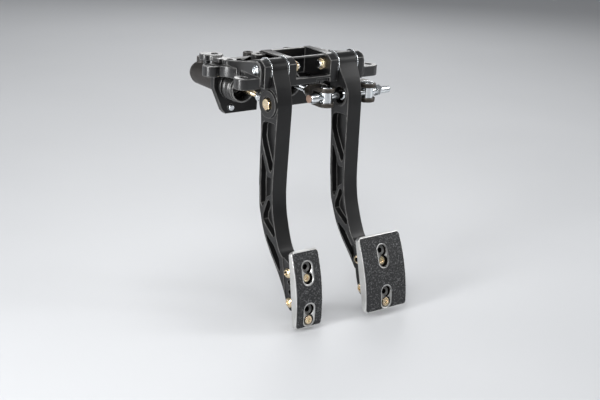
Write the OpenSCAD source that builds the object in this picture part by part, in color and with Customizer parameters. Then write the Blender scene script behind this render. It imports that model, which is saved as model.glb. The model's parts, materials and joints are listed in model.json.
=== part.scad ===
// Hanging two-pedal box: clutch pedal, brake pedal with balance bar, three cylinders.
// Origin midway between the four mounting ears, on their top faces. +X right, +Y forward, +Z up.

/* [Mounting ears] */
// Distance between the left and right ear holes
ear_span = 184; // [176:1:196]
// Distance between the rear and front ear holes
ear_reach = 69; // [64:1:76]
// Radius of each ear
ear_r = 11; // [9:0.5:13]
// Radius of each ear hole
ear_hole_r = 4.2; // [3:0.1:5.5]
// Thickness of each ear
ear_thick = 13; // [9:0.5:15]
// Radius of the small bosses on the brackets and on the frame
lug_r = 8.5; // [7:0.5:9]
// Radius of the holes in the small bosses
lug_hole_r = 3.3; // [2.5:0.1:4.5]

/* [Pivots] */
// Distance between the two pedals
pedal_spacing = 101.6; // [96:0.2:112]
// Width between the cheeks of one pedal
pedal_gap = 24.8; // [24:0.2:26]
// Extra length of the brake hub towards the clutch
hub_extra = 4.4; // [3:0.2:5]
// Height of the pivot axis above the ear faces
pivot_rise = 7; // [4:0.5:12]
// Distance of the pivot axis behind the rear ear holes
pivot_behind = 1.5; // [0:0.5:6]
// Radius of the pivot bolts
pivot_r = 4.76; // [4:0.01:5.5]
// Wall of the bronze bushes
bush_wall = 1.6; // [1:0.1:2]
// Radius of the thrust washers
washer_r = 14.2; // [13.6:0.1:14.8]
// Thickness of the thrust washers
washer_thick = 1; // [0.6:0.1:1.5]
// Width across flats of the pivot nuts
pivot_flats = 12.7; // [12:0.1:14]
// Height of the pivot bolt heads
pivot_head = 2.6; // [2:0.1:4]
// Height of the pivot nuts
pivot_nut = 8; // [6:0.5:10]

/* [Frame] */
// Radius of the cheeks around the pivot
cheek_r = 12.5; // [11.5:0.5:14]
// Depth of the cheeks below the pivot axis
cheek_drop = 20; // [18:0.5:24]
// Thickness of the inner cheeks
inner_cheek = 11.4; // [10:0.2:12]
// Thickness of the outer cheeks
outer_cheek = 9; // [8:0.5:10]
// Thickness of the side bracket plates
bracket_thick = 4; // [3.5:0.5:5]
// Distance of the raised top edge ahead of the pivot axis
wall_y = 40; // [36:1:46]
// Height of the raised top edge above the pivot axis
rail_top = 11.5; // [9:0.5:12.5]
// Thickness of the frame walls
wall = 6; // [4:0.5:8]
// Distance of the bridge walls ahead of the pivot axis
bridge_y = 19; // [18.5:0.5:24]
// Height of the crossbar
bar_high = 7.5; // [5:0.5:9]
// Depth of the crossbar
bar_deep = 8.5; // [6:0.5:10]

/* [Pedal arms] */
// Radius of the hub at the top of each arm
hub_r = 12.5; // [11.5:0.5:13]
// Width of the arms below the hub
arm_wide = 21; // [20:0.2:22]
// Thickness of the web left between the side pockets
arm_web = 5; // [4:0.5:8]
// Angle of the brake arm towards the driver at rest
brake_back = 3; // [0:0.5:5]
// Distance of the link axis towards the driver from the pivot
link_back = 9; // [7:0.5:10]
// Distance of the link axis below the pivot
link_drop = 39; // [37:0.5:42]
// Radius of the round link boss on the clutch arm
boss_r = 16.5; // [15.5:0.5:17]
// Thickness of the arm end beside the pad bracket
tongue = 14.5; // [13:0.5:15]

/* [Pads] */
// Width of the clutch pad
clutch_wide = 38; // [36:0.5:42]
// Width of the brake pad
brake_wide = 64; // [56:0.5:70]
// Height of both pads
pad_high = 93; // [90:0.5:96]
// Radius of the curved pad face
pad_bow = 187; // [160:1:230]
// Thickness of the pads at mid height
pad_thick = 11.5; // [11:0.5:12.5]
// Corner radius of the pads
pad_corner = 4.5; // [3:0.5:8]
// Thickness of the grip sheets
grip_thick = 0.9; // [0.5:0.1:1.5]
// Width of the recessed slots
slot_wide = 15; // [14.5:0.5:16]
// Depth of the recessed slots below the middle of the pad face
slot_deep = 7; // [6:0.5:7.5]
// Thickness of the pad bracket foot
foot_thick = 4.5; // [3.5:0.5:6]
// Thickness of the pad bracket blade
blade_thick = 5.5; // [5:0.5:6]
// Pitch of the holes in the bracket blade
blade_pitch = 12; // [11:0.5:12.5]
// Distance of the blade holes behind the pad face
blade_row = 29; // [28.5:0.5:30]

/* [Cylinders] */
// Distance of the cylinder plate ahead of the pivot axis
plate_y = 90; // [88:1:96]
// Thickness of the cylinder plate
plate_thick = 8; // [6:0.5:10]
// Distance between the two flange fasteners of a cylinder
flange_pitch = 57.15; // [56:0.05:59]
// Radius of the flange fasteners
stud_r = 3.97; // [3:0.01:4.5]
// Radius of the cylinder bodies
body_r = 15; // [14:0.5:16.5]
// Radius of the cylinder bores
bore_r = 9.525; // [8:0.005:10]
// Radius of the spigot that passes the plate
spigot_r = 14.5; // [13.5:0.1:15]
// Length of the cylinder body ahead of its flange
body_long = 62; // [58:1:80]
// Radius of the inlet bosses
inlet_r = 6.8; // [6:0.1:8]
// Radius of the inlet ports
inlet_port_r = 3.4; // [2.5:0.1:4]
// Radius of the outlet ports
outlet_port_r = 4.5; // [3.5:0.1:5.5]

/* [Linkage] */
// Distance between the two clevises of the balance bar
clevis_pitch = 63.5; // [62:0.1:66]
// Radius of the balance bar
bar_r = 4.76; // [4:0.01:5.2]
// Radius of the bearing race of the balance bar
race_r = 10.3; // [9.8:0.1:10.6]
// Radius of the bearing ball
ball_r = 8.3; // [7.6:0.1:8.6]
// Radius of the trunnions
trunnion_r = 7.94; // [7.2:0.01:8.4]
// Radius of the pushrods
rod_r = 3.3; // [3:0.1:3.97]
// Radius of the clutch link bolt
link_r = 3.97; // [3.2:0.01:4.5]

/* [Clearances] */
// Radial clearance of running fits
run_fit = 0.05; // [0.03:0.01:0.08]
// Radial clearance of bolts in plain holes
slip_fit = 0.1; // [0.05:0.01:0.3]

/* [Hidden] */
$fn = 64;
eps = 0.02;
half = 0.5;
pivot_y = -(ear_reach * half + pivot_behind);
pivot_z = pivot_rise;
pedal_x = pedal_spacing * half;
inner_face = pedal_x - pedal_gap * half;
outer_face = pedal_x + pedal_gap * half;
window_x = inner_face - inner_cheek;
cheek_x = outer_face + outer_cheek;
bracket_x = cheek_x + bracket_thick;
ear_x = ear_span * half;
ear_rear_y = pivot_behind;
ear_front_y = pivot_behind + ear_reach;
ear_top = -pivot_rise;
ear_low = ear_top - ear_thick;
hub_half = pedal_gap * half - washer_thick - slip_fit;
bush_r = pivot_r + run_fit + bush_wall;
cylinder_z = -link_drop - 0.4;
clutch_x = -pedal_x;
left_x = pedal_x - clevis_pitch * half;
right_x = pedal_x + clevis_pitch * half;
cylinder_xs = [clutch_x, left_x, right_x];
stud_z = flange_pitch * half;
plate_end = plate_y + plate_thick;
flange_thick = 8;
flange_end = plate_end + flange_thick;
body_end = flange_end + body_long;

black = [0.10, 0.10, 0.11];
silver = [0.78, 0.79, 0.80];
gold = [0.76, 0.62, 0.30];
steel = [0.70, 0.71, 0.72];
oxide = [0.20, 0.16, 0.14];
copper = [0.72, 0.45, 0.32];
rubber = [0.06, 0.06, 0.06];
bronze = [0.66, 0.50, 0.28];

// Moves a drawing made about the pivot axis to its place
module at_pivot() {
    translate([0, pivot_y, pivot_z]) children();
}

// Extrudes a side view (forward, up) from one X to another
module along_x(x0, x1) {
    translate([x0, 0, 0]) rotate([90, 0, 90]) linear_extrude(x1 - x0) children();
}

// Extrudes a front view (right, up) from one Y to another
module along_y(y0, y1) {
    translate([0, y1, 0]) rotate([90, 0, 0]) linear_extrude(y1 - y0) children();
}

// Extrudes a top view from one Z to another
module along_z(z0, z1) {
    translate([0, 0, z0]) linear_extrude(z1 - z0) children();
}

module rod_x(r, x0, x1) {
    translate([x0, 0, 0]) rotate([0, 90, 0]) cylinder(r = r, h = x1 - x0);
}

module rod_y(r, y0, y1) {
    translate([0, y0, 0]) rotate([-90, 0, 0]) cylinder(r = r, h = y1 - y0);
}

module rod_z(r, z0, z1) {
    translate([0, 0, z0]) cylinder(r = r, h = z1 - z0);
}

module hex_x(flats, x0, x1) {
    translate([x0, 0, 0]) rotate([0, 90, 0]) cylinder(r = flats / sqrt(3), h = x1 - x0, $fn = 6);
}

module hex_y(flats, y0, y1) {
    translate([0, y0, 0]) rotate([-90, 0, 0]) cylinder(r = flats / sqrt(3), h = y1 - y0, $fn = 6);
}

// Smooth curve through stations of a side view
function blend(a, b, c, d, t) = half * (2 * b + (c - a) * t + (2 * a - 5 * b + 4 * c - d) * t * t
    + (3 * b - a - 3 * c + d) * t * t * t);
function smooth(pts, n) = [
    for (i = [0 : len(pts) - 2])
        for (k = [0 : n - 1])
            blend(pts[max(i - 1, 0)], pts[i], pts[i + 1], pts[min(i + 2, len(pts) - 1)], k / n),
    pts[len(pts) - 1],
];
function reversed(pts) = [for (i = [len(pts) - 1 : -1 : 0]) pts[i]];

// Frame

plate_drop = 5;
screw_r = 3;
foot_boss_r = 6;
foot_x = window_x + foot_boss_r + half;
side_foot_x = outer_face + 3.4;
screw_z = ear_top - 7;

// Top of the flat front of the cheeks above the pivot axis
flat_top = 6;

module inner_side() {
    polygon([[-cheek_r, -cheek_drop], [plate_y, -cheek_drop], [plate_y, ear_top - 1],
        [plate_y - wall, ear_top - 1], [wall_y + wall, rail_top], [0, cheek_r], [-flat_top, cheek_r - 1.6],
        [-cheek_r, flat_top]]);
}

module outer_side() {
    polygon([[-cheek_r, -cheek_drop], [cheek_r, -cheek_drop], [bridge_y + wall, -cheek_r],
        [bridge_y + wall, wall], [wall, cheek_r - 1.2], [0, cheek_r], [-flat_top, cheek_r - 1.6],
        [-cheek_r, flat_top]]);
}

// The brake hub is longer than the clutch hub, so the right inner cheek stands further in
function extra(side) = side == 0 ? hub_extra : 0;

module main_frame() {
    top_bar = 2;
    boss_y = wall_y + 3.5;
    boss_x = inner_face + lug_r - 3;
    boss_top = rail_top - 3;
    notch_deep = 4.5;
    right_x = window_x - hub_extra;
    inside = window_x + right_x + 2 * eps;
    color(black) at_pivot() difference() {
        union() {
            for (side = [0, 1]) mirror([side, 0, 0]) {
                along_x(window_x - extra(side), inner_face - extra(side)) inner_side();
                along_x(outer_face, cheek_x) outer_side();
                translate([inner_face - extra(side) - eps, bridge_y, -cheek_r])
                    cube([outer_face - inner_face + extra(side) + 2 * eps, wall, cheek_r + wall]);
                translate([foot_x, 0, screw_z]) rod_y(foot_boss_r, plate_y - 14, plate_y);
                translate([boss_x - extra(side), boss_y, 0]) rod_z(lug_r, boss_top - 10, boss_top);
            }
            translate([-window_x - eps, -cheek_r, -cheek_drop + half])
                cube([inside, bar_deep, bar_high]);
            translate([-window_x - eps, -top_bar, cheek_r - top_bar - 1])
                cube([inside, 2 * top_bar, top_bar]);
            translate([-window_x - eps, wall_y, -cheek_drop + half])
                cube([inside, wall, cheek_drop + rail_top - half]);
        }
        for (side = [0, 1]) mirror([side, 0, 0]) {
            rod_x(pivot_r + slip_fit, right_x - 1, cheek_x + 1);
            translate([foot_x, 0, screw_z]) rod_y(screw_r + slip_fit, plate_y - 15 + screw_r, plate_y + 1);
            translate([boss_x - extra(side), boss_y, 0]) rod_z(lug_hole_r, boss_top - 11, boss_top + 1);
            translate([0, bridge_y + wall * half, bracket_screw_z])
                rod_x(screw_r + slip_fit, outer_face + 1.5, cheek_x + 1);
        }
        translate([wall * half, -cheek_r - 1, -cheek_drop])
            cube([right_x - wall * half, bar_deep * half + 1, notch_deep + half]);
    }
}

bracket_screw_z = -1;

module bracket() {
    web_y = 30;
    web_r = 24;
    front_r = cheek_r - 2.5;
    boss_y = ear_front_y - 5;
    boss_x = bracket_x - lug_r + 2;
    foot_half = 6.5;
    difference() {
        union() {
            along_x(cheek_x, bracket_x) {
                circle(r = front_r);
                polygon([[-front_r, 0], [-front_r, 3 - cheek_drop], [ear_front_y, ear_low],
                    [ear_front_y, ear_top + 3], [boss_y - lug_r, 0], [0, front_r], [0, 0]]);
            }
            for (y = [ear_rear_y, ear_front_y]) translate([ear_x, y, 0]) rod_z(ear_r, ear_low, ear_top);
            along_z(ear_low, ear_top) difference() {
                union() {
                    translate([bracket_x - 1, ear_rear_y - ear_r])
                        square([ear_x - bracket_x + 1, 2 * ear_r]);
                    translate([bracket_x - 1, ear_front_y - ear_r])
                        square([ear_x - bracket_x + 1, 2 * ear_r]);
                    translate([bracket_x - 1, ear_rear_y]) square([ear_x - bracket_x - 2, web_y]);
                    translate([bracket_x - 1, ear_front_y - web_y]) square([ear_x - bracket_x - 2, web_y]);
                }
                translate([bracket_x + web_r, ear_rear_y + ear_r + web_r - 6]) circle(r = web_r);
                translate([bracket_x + web_r, ear_front_y - ear_r - web_r + 6]) circle(r = web_r);
            }
            translate([boss_x, boss_y, 0]) rod_z(lug_r, ear_low, -1);
            translate([side_foot_x - foot_half, boss_y, ear_low])
                cube([2 * foot_half, plate_y - boss_y, ear_thick]);
            translate([side_foot_x - foot_half, boss_y - foot_half, ear_low])
                cube([bracket_x - side_foot_x + foot_half, 2 * foot_half, ear_thick]);
        }
        rod_x(pivot_r + slip_fit, cheek_x - 1, bracket_x + 1);
        for (y = [ear_rear_y, ear_front_y])
            translate([ear_x, y, 0]) rod_z(ear_hole_r, ear_low - 1, ear_top + 1);
        translate([boss_x, boss_y, 0]) rod_z(lug_hole_r, ear_low - 1, 1);
        translate([0, bridge_y + wall * half, bracket_screw_z])
            rod_x(screw_r + slip_fit, cheek_x - 1, bracket_x - 1 + slip_fit);
        translate([side_foot_x, 0, screw_z]) rod_y(screw_r + slip_fit, plate_y - 12, plate_y + 1);
    }
}

module right_bracket() {
    color(black) at_pivot() bracket();
}

// Third lug of the clutch side, carried forward over the cylinder plate
module far_lug() {
    far_low = -6.5;
    far_top = 1;
    far_r = 10.5;
    end_r = 9.5;
    post_r = 4.2;
    bar_thick = 5.5;
    end = [82.4, 96.5];
    bar_x = bracket_x - 10;
    bar_y = ear_front_y - 5 + lug_hole_r + 1.5;
    difference() {
        union() {
            translate([far_x, far_y, 0]) rod_z(far_r, far_low, far_top);
            translate([end[0], end[1], 0]) rod_z(end_r, far_low, far_top);
            translate([end[0], end[1], 0]) rod_z(post_r, 2 * far_low - 1, far_low + eps);
            translate([bar_x, bar_y, far_low]) cube([far_r + end_r - 4, far_y - bar_y, bar_thick]);
        }
        translate([far_x, far_y, 0]) rod_z(ear_hole_r, far_low - 1, far_top + 1);
    }
}

far_x = 75.2;
far_y = 91.7;

module left_bracket() {
    color(black) at_pivot() mirror([1, 0, 0]) {
        bracket();
        far_lug();
    }
}

plate_margin = 25;
plate_low = cylinder_z - stud_z - 8;
lobe_r = 7;
stud_zs = [-stud_z, stud_z - 6];

module cylinder_plate() {
    x0 = clutch_x - plate_margin;
    x1 = right_x + plate_margin;
    corner = 12;
    slant = 13.5;
    bevel = 4.5;
    notch_x0 = -10.5;
    notch_x1 = 2;
    between = cylinder_z - 19;
    side_high = cylinder_z + 13;
    top = -plate_drop - pivot_rise * half + 1;
    color(black) at_pivot() difference() {
        along_y(plate_y, plate_end) {
            polygon([[x0 + corner, top], [x0, side_high], [x0, cylinder_z - 2], [x0 + slant, plate_low + bevel],
                [x0 + slant + bevel, plate_low], [notch_x0, plate_low], [notch_x0, between],
                [notch_x1, between], [notch_x1, plate_low], [x1 - slant - bevel, plate_low],
                [x1 - slant, plate_low + bevel], [x1, cylinder_z - 2], [x1, side_high], [x1 - corner, top]]);
            for (x = cylinder_xs) translate([x, cylinder_z + stud_zs[1]]) circle(r = lobe_r);
        }
        for (x = cylinder_xs) translate([x, 0, cylinder_z]) {
            rod_y(spigot_r + slip_fit, plate_y - 1, plate_end + 1);
            for (z = stud_zs) translate([0, 0, z]) rod_y(stud_r, plate_y - 1, plate_end + 1);
        }
        for (x = [-side_foot_x, -foot_x, foot_x, side_foot_x])
            translate([x, 0, screw_z]) rod_y(screw_r + slip_fit, plate_y - 1, plate_end + 1);
    }
}

cap_head_r = 5;
cap_head = 6;
cap_key = 5;

module cap_screw_y(y0, y1) {
    difference() {
        union() {
            rod_y(screw_r, y0, y1 + eps);
            rod_y(cap_head_r, y1, y1 + cap_head);
        }
        hex_y(cap_key, y1 + cap_head * half, y1 + cap_head + 1);
    }
}

module plate_screws() {
    color(steel) at_pivot() for (x = [-side_foot_x, -foot_x, foot_x, side_foot_x])
        translate([x, 0, screw_z]) cap_screw_y(plate_y - 10, plate_end);
}

module bracket_dowels() {
    color(steel) at_pivot() for (side = [0, 1]) mirror([side, 0, 0])
        translate([0, bridge_y + wall * half, bracket_screw_z])
            rod_x(screw_r, outer_face + 2, bracket_x - 1);
}

// Pivots

module pivot_bolts() {
    rim = 1;
    key = 4.8;
    color(silver) at_pivot() for (side = [0, 1]) mirror([side, 0, 0]) {
        rod_x(pivot_r, window_x - extra(side) - pivot_nut - 2, bracket_x + eps);
        translate([bracket_x, 0, 0]) rotate([0, 90, 0]) difference() {
            union() {
                cylinder(r = pivot_head_r, h = rim);
                translate([0, 0, rim])
                    cylinder(r1 = pivot_head_r, r2 = pivot_head_r - 2, h = pivot_head - rim);
            }
            translate([0, 0, rim]) cylinder(r = key / sqrt(3), h = pivot_head, $fn = 6);
        }
    }
}

pivot_head_r = 6.2;

module pivot_nuts() {
    collar = 2;
    color(gold) at_pivot() for (side = [0, 1]) mirror([side, 0, 0]) translate([window_x - extra(side), 0, 0])
        difference() {
            union() {
                hex_x(pivot_flats, collar - pivot_nut, 0);
                rod_x(pivot_flats * half - half, -pivot_nut, collar - pivot_nut + eps);
            }
            rod_x(pivot_r, -pivot_nut - 1, 1);
        }
}

module thrust_washers() {
    color(steel) at_pivot() for (side = [0, 1]) mirror([side, 0, 0])
        for (x = [inner_face - extra(side), outer_face - washer_thick]) difference() {
            rod_x(washer_r, x, x + washer_thick);
            rod_x(pivot_r + slip_fit, x - 1, x + washer_thick + 1);
        }
}

module bushes(longer) {
    color(bronze) difference() {
        union() {
            rod_x(bush_r, -hub_half - longer, -1);
            rod_x(bush_r, 1, hub_half);
        }
        rod_x(pivot_r + run_fit, -hub_half - longer - 1, hub_half + 1);
    }
}

// Cylinders

inlet_y = body_end - 9;
inlet_high = 21.4;
bore_end = flange_end + body_long - 16;
spigot_end = plate_y - 12;
stop_y = spigot_end + 3;
stop_thick = 1.4;
stop_groove = 0.8;

module cylinder_body() {
    port_long = 4;
    port_r = 8;
    cap = 5;
    difference() {
        union() {
            along_y(plate_end, flange_end) {
                circle(r = 20);
                for (z = stud_zs) translate([0, z]) circle(r = lobe_r);
                translate([-lobe_r, stud_zs[0]]) square([2 * lobe_r, stud_zs[1] - stud_zs[0]]);
            }
            rod_y(body_r, flange_end - eps, body_end - cap);
            rod_y(body_r - 2, body_end - cap - eps, body_end);
            rod_y(port_r, body_end - eps, body_end + port_long);
            rod_y(spigot_r, spigot_end, plate_end + eps);
            translate([0, inlet_y, 0]) rod_z(inlet_r, 0, inlet_high);
        }
        rod_y(bore_r, spigot_end - 1, bore_end);
        rod_y(bore_r + stop_groove + run_fit, stop_y - run_fit, stop_y + stop_thick + run_fit);
        rod_y(outlet_port_r, body_end - 4, body_end + port_long + 1);
        rod_y(1.5, bore_end - 1, body_end);
        translate([0, inlet_y, 0]) rod_z(inlet_port_r, body_r - 4, inlet_high + 1);
        for (z = stud_zs) translate([0, 0, z]) rod_y(stud_r + slip_fit, plate_end - 1, flange_end + 1);
    }
}

module clutch_cylinder() {
    color(oxide) at_pivot() translate([clutch_x, 0, cylinder_z]) cylinder_body();
}

module left_brake_cylinder() {
    color(oxide) at_pivot() translate([left_x, 0, cylinder_z]) cylinder_body();
}

module right_brake_cylinder() {
    color(oxide) at_pivot() translate([right_x, 0, cylinder_z]) cylinder_body();
}

nut_flats = 11.1;

module at_studs(zs = stud_zs) {
    at_pivot() for (x = cylinder_xs) for (z = zs) translate([x, 0, cylinder_z + z]) children();
}

flange_washer = 1.5;

module flange_bolts() {
    head = 5.5;
    tip = 3.4;
    dome = 1;
    under = flange_end + flange_washer;
    color(silver) {
        at_studs([stud_zs[0]]) {
            rod_y(stud_r, plate_y - tip, under + eps);
            translate([0, plate_y - tip, 0]) rotate([90, 0, 0])
                cylinder(r1 = stud_r, r2 = stud_r - dome, h = dome);
        }
        at_studs([stud_zs[1]]) rod_y(stud_r, plate_y + half, under + eps);
        at_studs() hex_y(nut_flats, under, under + head);
    }
}

module flange_washers() {
    color(silver) at_studs() difference() {
        rod_y(nut_flats * half, flange_end, flange_end + flange_washer);
        rod_y(stud_r + slip_fit, flange_end - 1, flange_end + flange_washer + 1);
    }
}

mouth_y = plate_y - 28;

module boot() {
    lip = 16;
    rib = 17.6;
    valley = 16.4;
    base = 18.6;
    pitch = 3.4;
    skin = 1.9;
    mouth = lip - skin;
    difference() {
        union() {
            rod_y(valley, mouth_y, plate_y);
            rod_y(lip + half, mouth_y, mouth_y + 2);
            for (k = [1 : 6]) rod_y(rib, mouth_y + k * pitch, mouth_y + k * pitch + pitch * half);
            rod_y(base, plate_y - 4, plate_y);
        }
        rod_y(spigot_r, spigot_end - half, plate_y + 1);
        rod_y(mouth, mouth_y - 1, spigot_end - half + eps);
    }
}

module clutch_boot() {
    color(rubber) at_pivot() translate([clutch_x, 0, cylinder_z]) boot();
}

module left_brake_boot() {
    color(rubber) at_pivot() translate([left_x, 0, cylinder_z]) boot();
}

module right_brake_boot() {
    color(rubber) at_pivot() translate([right_x, 0, cylinder_z]) boot();
}

module stop_rings() {
    open = 1.3;
    color(steel) at_pivot() for (x = cylinder_xs) translate([x, 0, cylinder_z]) difference() {
        rod_y(bore_r + stop_groove, stop_y, stop_y + stop_thick);
        rod_y(bore_r - open, stop_y - 1, stop_y + stop_thick + 1);
        translate([-2, stop_y - 1, -bore_r - 4]) cube([4, stop_thick + 2, bore_r]);
    }
}

piston_y = stop_y + stop_thick + half;
piston_long = 30;
cup_deep = 16;
cup_r = 7.2;
seat_y = piston_y + cup_deep;

module piston() {
    groove = 1.6;
    difference() {
        rod_y(bore_r - run_fit, piston_y, piston_y + piston_long);
        rod_y(cup_r, piston_y - 1, seat_y);
        for (y = [piston_y + cup_deep + 2.5, piston_y + piston_long - 5]) difference() {
            rod_y(bore_r + 1, y, y + 2.4);
            rod_y(bore_r - groove, y - 1, y + 4);
        }
    }
}

module clutch_piston() {
    color(silver) at_pivot() translate([clutch_x, 0, cylinder_z]) piston();
}

module left_piston() {
    color(silver) at_pivot() translate([left_x, 0, cylinder_z]) piston();
}

module right_piston() {
    color(silver) at_pivot() translate([right_x, 0, cylinder_z]) piston();
}

// Pedal arms: stations are [towards driver or forward, height] measured down the arm

driver_edge = [[-hub_r, 0], [-17, -9.5], [-21.8, -21], [-25.1, -35.4], [-25.6, -48.8],
    [-25.1, -61], [-24.5, -81], [-23.7, -101], [-22.9, -133.5], [-23.4, -150], [-25.7, -167],
    [-30.4, -183], [-36.4, -199], [-43.5, -211.5], [-53.1, -218], [-62.8, -222], [-71.5, -226.5],
    [-74.5, -240], [-77.5, -256], [-79.5, -268]];
forward_edge = [[hub_r, 0], [11.5, -20], [8.9, -46], [6.4, -74], [6.3, -101.5], [5.5, -137],
    [4.5, -145], [2.6, -167], [-1.2, -179], [-5.9, -191], [-12, -203], [-22.2, -217],
    [-33.6, -229.6], [-43.4, -240.5], [-55, -256], [-62, -270]];
end_half = arm_wide * half;
arm_end = -290;
right_edge = [[hub_half, 20], [hub_half, -14], [end_half, -26], [end_half, arm_end]];
pockets = [
    [[4, -69], [2.6, -64], [-1, -61.9], [-10, -61.2], [-20.4, -60.8], [-22.2, -63], [-22.7, -81.5],
        [-21.5, -101], [-19.8, -117], [-17.6, -120.5], [-15, -119.5], [-7, -105.4], [0, -92.4],
        [4.2, -81.5]],
    [[2.7, -104], [1.8, -102.5], [0.4, -103.5], [-6.6, -118.2], [-11.8, -127.6], [-19.1, -126.5],
        [-19.4, -137], [-19.6, -147.6], [-12.6, -151.5], [-5.4, -165.6], [-3.4, -167], [0, -163.6],
        [1.2, -144.5], [1.7, -140]],
    [[-14.2, -156.3], [-16.4, -155], [-19, -156], [-21.4, -165.4], [-24.6, -177], [-30, -187.6],
        [-32.2, -194], [-31.2, -197.6], [-28.6, -197.6], [-12.4, -187.6], [-6.4, -182.4],
        [-6.5, -175.3]],
    [[-13, -200], [-14.6, -198.8], [-31.6, -208.4], [-42.4, -219.6], [-46.4, -232.2],
        [-45.8, -236.4], [-43.4, -235.4], [-33.6, -226], [-19, -210]],
];

module arm_side() {
    polygon(concat(smooth(driver_edge, 4), reversed(smooth(forward_edge, 4))));
    circle(r = hub_r);
}

module arm_front(longer) {
    left = -hub_half - longer;
    polygon(concat([[left, 20], [left, longer - 14], [-end_half, -26 - longer], [-end_half, arm_end]],
        reversed(right_edge)));
}

module arm_blank(longer) {
    reach = 100;
    intersection() {
        along_x(-hub_half - longer, hub_half) arm_side();
        along_y(-reach, reach) arm_front(longer);
    }
    rod_x(hub_r, -hub_half - longer, hub_half);
}

module pocket_cuts() {
    for (side = [0, 1]) mirror([side, 0, 0])
        for (p = pockets) along_x(arm_web * half, hub_half + 1) polygon(p);
}

module at_link() {
    translate([0, -link_back, -link_drop]) children();
}

slot_half = 6.6;
eye_r = 9.5;

module at_pad(place) {
    translate([0, place[0], place[1]]) rotate([-place[2], 0, 0]) children();
}

clutch_place = [-94.8, -243.1, 10];
brake_place = [-89, -245, 12.6];
blade_x = end_half - tongue;
row_top = 16.5;
blade_rows = [for (k = [0 : 3]) row_top - k * blade_pitch];
foot_back = pad_thick + foot_thick;
side_screw_r = 3.17;

// Side view of the pad bracket blade, [behind the pad face, height on the pad]
module blade_side(grow) {
    polygon([[pad_thick + foot_thick * half - grow, 20 + grow], [24, 26 + grow], [38.5 + grow, 34 + grow],
        [38.5 + grow, -7 - grow], [36.5 + grow, -25 - grow], [31 + grow, -30 - grow],
        [pad_thick + foot_thick * half - grow, -30 - grow]]);
}

// Room for the bracket and its foot beside the arm end, and the two screw holes
module end_cuts(place) {
    at_pad(place) {
        along_x(blade_x - 20, blade_x) blade_side(slip_fit);
        translate([-20, foot_back - 60, -60]) cube([40, 60 + 1, 120]);
        for (z = [blade_rows[0], blade_rows[3]])
            translate([0, blade_row, z]) rod_x(side_screw_r + slip_fit, -20, 20);
    }
}

module clutch_arm() {
    head_room = 9;
    head_deep = 3;
    boss_half = boss_face + head_deep;
    slot_low = 16;
    slot_high = 11;
    color(black) at_pivot() translate([clutch_x, 0, 0]) difference() {
        union() {
            arm_blank(0);
            at_link() rod_x(boss_r, -boss_half, end_half);
        }
        pocket_cuts();
        rod_x(bush_r, -hub_half - 1, hub_half + 1);
        at_link() {
            rod_x(link_r + slip_fit, -hub_half - 2, hub_half + 2);
            rod_x(head_room, -boss_half - 1, head_deep - boss_half);
            translate([-slot_half, -eye_r - 1, -slot_low])
                cube([2 * slot_half, 50, slot_low + slot_high]);
        }
        end_cuts(clutch_place);
    }
}

module brake_arm() {
    tube_r = race_r + 2.6;
    tube_half = end_half + 0.4;
    color(black) at_pivot() translate([pedal_x, 0, 0]) rotate([-brake_back, 0, 0]) difference() {
        union() {
            arm_blank(hub_extra);
            at_link() rod_x(tube_r, -tube_half, tube_half);
        }
        pocket_cuts();
        rod_x(bush_r, -hub_half - hub_extra - 1, hub_half + 1);
        at_link() rod_x(race_r, -tube_half - 1, tube_half + 1);
        end_cuts(brake_place);
    }
}

module clutch_bushes() {
    at_pivot() translate([clutch_x, 0, 0]) bushes(0);
}

module brake_bushes() {
    at_pivot() translate([pedal_x, 0, 0]) bushes(hub_extra);
}

module bearing_race() {
    race_half = 4;
    color(steel) at_brake_link() rotate([0, 90, 0]) rotate_extrude() difference() {
        translate([0, -race_half]) square([race_r, 2 * race_half]);
        circle(r = ball_r + run_fit);
    }
}

// Pads

clutch_shift = -1.6;
brake_shift = 6.3;
slots = [20, -31];
slot_high = 28.5;
pit_r = 6.8;
pit_apart = 6.5;
rim_deep = 1;
foot_half = 16;
foot_reach = 40;
pad_screw_r = 2.9;

module round_rect(w, h, r) {
    square([w - 2 * r, h], center = true);
    square([w, h - 2 * r], center = true);
    for (x = [-1, 1])
        for (y = [-1, 1])
            translate([x * (w * half - r), y * (h * half - r)]) circle(r = r);
}

// Everything deeper than a depth measured square to the curved pad face
module behind_face(depth, wide) {
    translate([0, pad_bow, 0]) rod_x(pad_bow - depth, -wide, wide, $fn = 360);
}

// A place on the face at a height along the pad, square to the curve
module on_face(z) {
    translate([0, pad_bow, 0]) rotate([-asin(z / pad_bow), 0, 0]) translate([0, -pad_bow, 0]) children();
}

module pad_plate(wide) {
    floor_hole = 3.3;
    difference() {
        intersection() {
            behind_face(0, wide);
            along_y(-5, pad_thick) round_rect(wide, pad_high, pad_corner);
        }
        for (z = slots) on_face(z)
            along_y(-5, rim_deep) round_rect(slot_wide, slot_high, slot_wide * half - half);
        for (z = slots) translate([0, 0, z]) {
            for (s = [-1, 1]) translate([0, 0, s * pit_apart]) rod_y(pit_r, -5, slot_deep);
            translate([0, 0, pit_apart]) rod_y(floor_hole, 0, pad_thick + 1);
            translate([0, 0, -pit_apart]) rod_y(pad_screw_r + slip_fit, 0, pad_thick + 1);
        }
    }
}

module grip_sheet(wide) {
    rim = 0.7;
    edge = 0.9;
    difference() {
        intersection() {
            behind_face(-grip_thick, wide);
            along_y(-5, pad_thick) round_rect(wide - 2 * edge, pad_high - 2 * edge, pad_corner - edge);
        }
        behind_face(0, wide + 1);
        for (z = slots) translate([0, 0, z])
            along_y(-5, pad_thick)
                round_rect(slot_wide + 2 * rim, slot_high + 2 * rim, slot_wide * half + rim - half);
    }
}

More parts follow.
